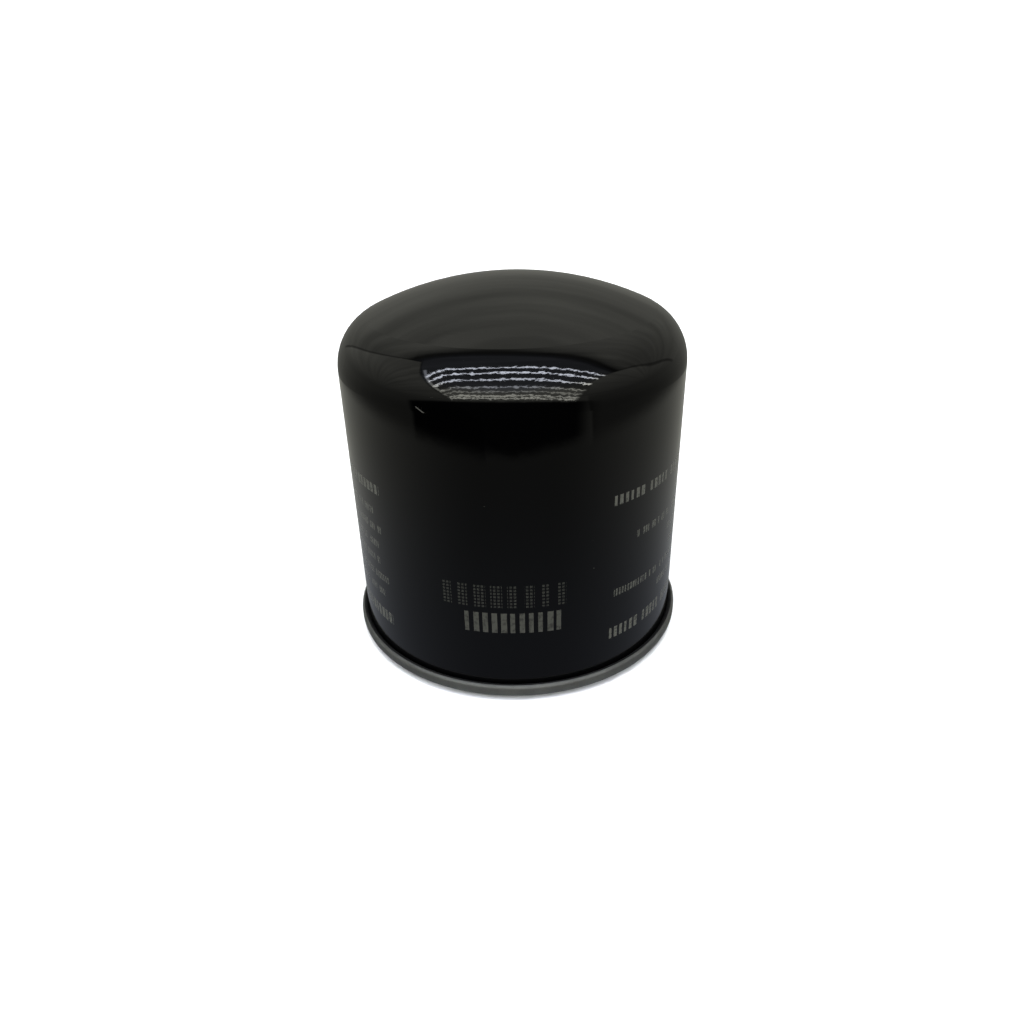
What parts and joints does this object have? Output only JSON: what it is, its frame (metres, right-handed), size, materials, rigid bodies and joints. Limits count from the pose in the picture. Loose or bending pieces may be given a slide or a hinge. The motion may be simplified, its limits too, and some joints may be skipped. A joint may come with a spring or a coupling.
{
  "type": "oil filter",
  "caption": "Spin-on oil filter: domed steel can with a rolled seam, threaded base plate, face gasket, pleated paper element, anti-drain valve and spring-loaded bypass valve.",
  "frame": {"origin": "centre of the gasket's sealing face, the lowest plane of the filter", "axes": "+Z along the mounting thread's axis from the gasket to the domed end; X and Y across it, the filter standing on its gasket"},
  "size_m": [0.0969, 0.0968, 0.1],
  "materials": {
    "can_paint": "gloss black enamel",
    "lid_steel": "dull zinc plated",
    "seam_compound": "cured sealing compound",
    "gasket_rubber": "moulded, lightly oiled",
    "plate_steel": "phosphated and oiled",
    "valve_rubber": "moulded",
    "cap_steel": "tinned",
    "tube_steel": "bright cold rolled",
    "potting_adhesive": "cured plastisol",
    "filter_paper": "resin impregnated, creped",
    "clip_steel": "bright strip",
    "spring_steel": "oil tempered",
    "pin_steel": "turned",
    "leaf_steel": "blued spring steel"
  },
  "bodies": {
    "filter": {"can": "can_paint", "seaming_lid": "lid_steel", "seam_sealant": "seam_compound", "gasket": "gasket_rubber", "tapping_plate": "plate_steel", "lower_end_cap": "cap_steel", "lower_potting": "potting_adhesive", "centre_tube": "tube_steel", "pleated_media": "filter_paper", "media_seam_clip": "clip_steel", "upper_potting": "potting_adhesive", "upper_end_cap": "cap_steel", "bypass_cage": "tube_steel", "bypass_spring": "spring_steel", "hold_down_spring": "leaf_steel"},
    "drain_valve": {"anti_drain_valve": "valve_rubber"},
    "bypass_poppet": {"bypass_plate": "tube_steel", "bypass_seal": "valve_rubber", "bypass_stem": "pin_steel", "stem_clip": "spring_steel"}
  },
  "joints": [
    {"name": "bypass_open", "type": "slide", "parent": "filter", "child": "bypass_poppet", "axis": [0, 0, -1], "range_m": [0, 0.0035], "stiffness_N_per_m": 2400, "springref_m": -0.0085, "deforming": ["bypass_spring"]},
    {"name": "drain_valve_lift", "type": "slide", "parent": "filter", "child": "drain_valve", "axis": [0, 0, 1], "range_m": [0, 0.0012], "stiffness_N_per_m": 800, "deforming": ["anti_drain_valve"]}
  ]
}
